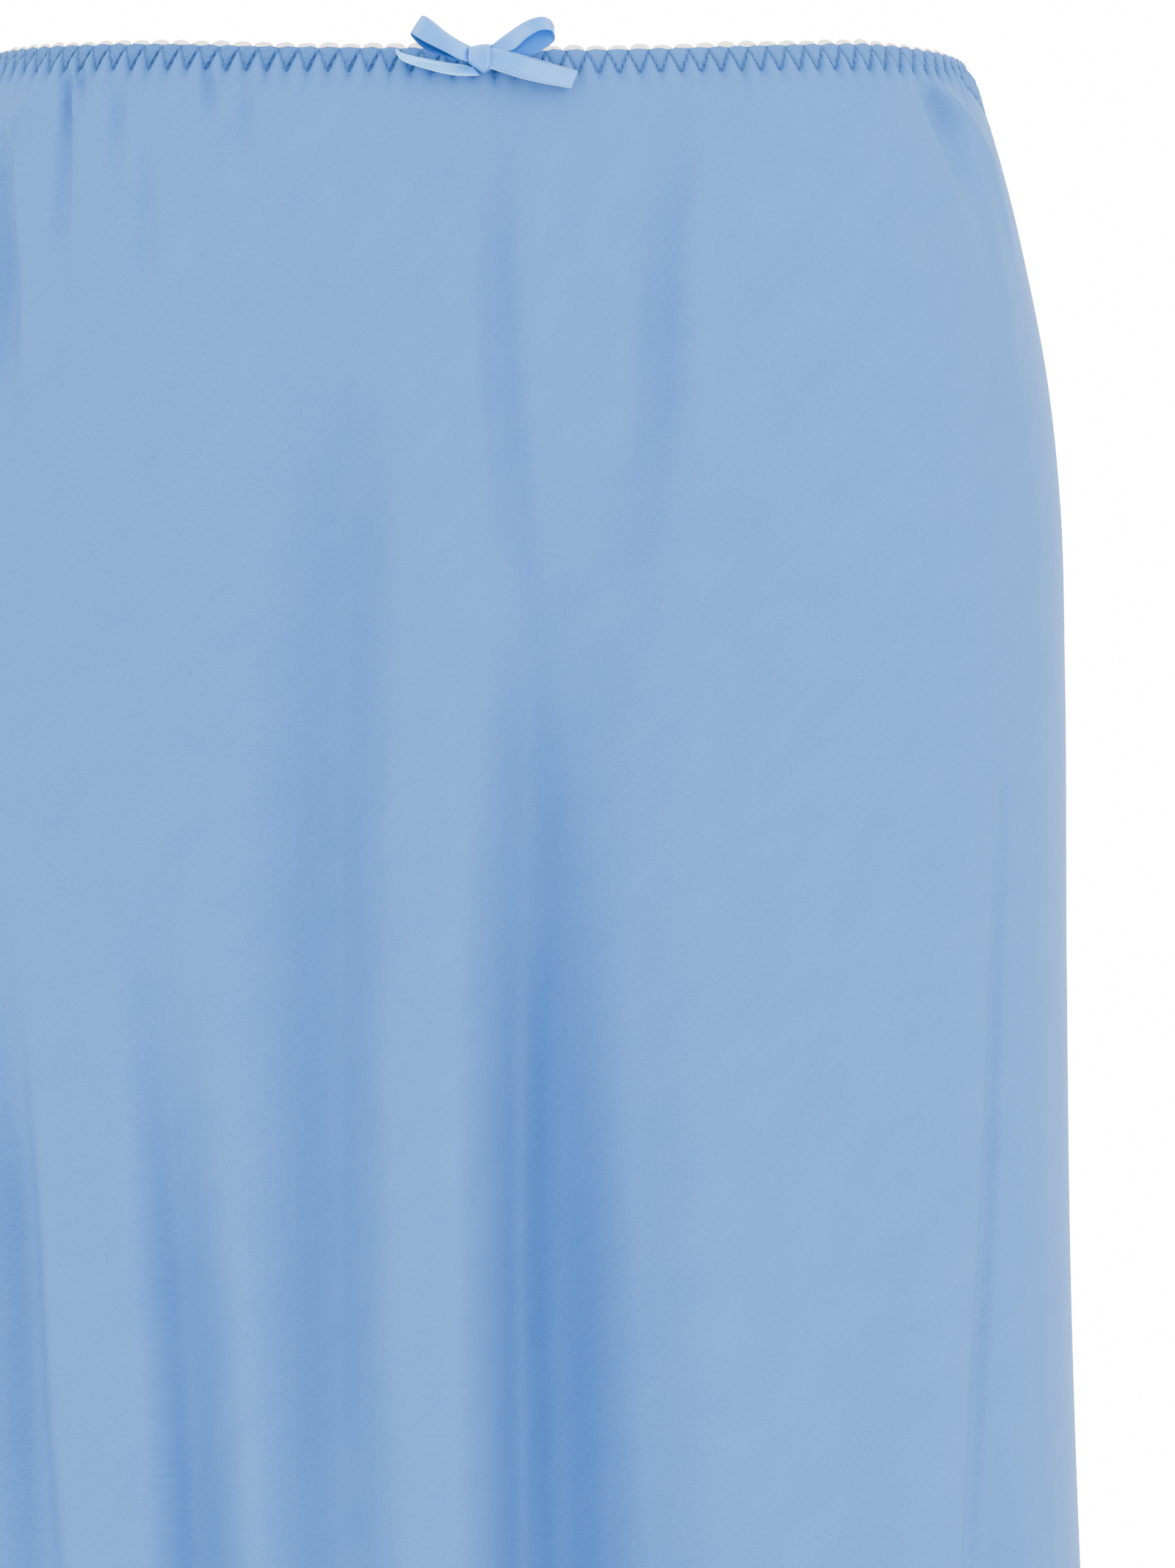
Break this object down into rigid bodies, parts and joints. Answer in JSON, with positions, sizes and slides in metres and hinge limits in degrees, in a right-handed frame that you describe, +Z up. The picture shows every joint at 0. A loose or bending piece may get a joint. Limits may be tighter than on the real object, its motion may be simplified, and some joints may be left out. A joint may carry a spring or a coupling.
{
  "type": "slip skirt",
  "caption": "Bias-cut satin slip skirt worn hollow, with a picot-edged elastic waist, a ribbon bow at the centre front and a fluted hem.",
  "frame": {"origin": "centre of the waist opening, level with the cloth's upper edge", "axes": "+Z up along the wearer, -Y towards the front with the bow, +X to the right of a viewer who faces the front"},
  "size_m": [0.3987, 0.293, 0.7892],
  "materials": {
    "satin": "light-blue satin with a soft sheen",
    "ribbon": "glossy light-blue satin ribbon",
    "picot_elastic": "off-white knitted elastic"
  },
  "bodies": {
    "root": {"front_panel": "satin", "back_panel": "satin", "waist_elastic": "picot_elastic", "bow_loop_left": "ribbon", "bow_loop_right": "ribbon", "bow_tail_left": "ribbon", "bow_tail_right": "ribbon", "bow_knot": "ribbon"}
  },
  "joints": []
}
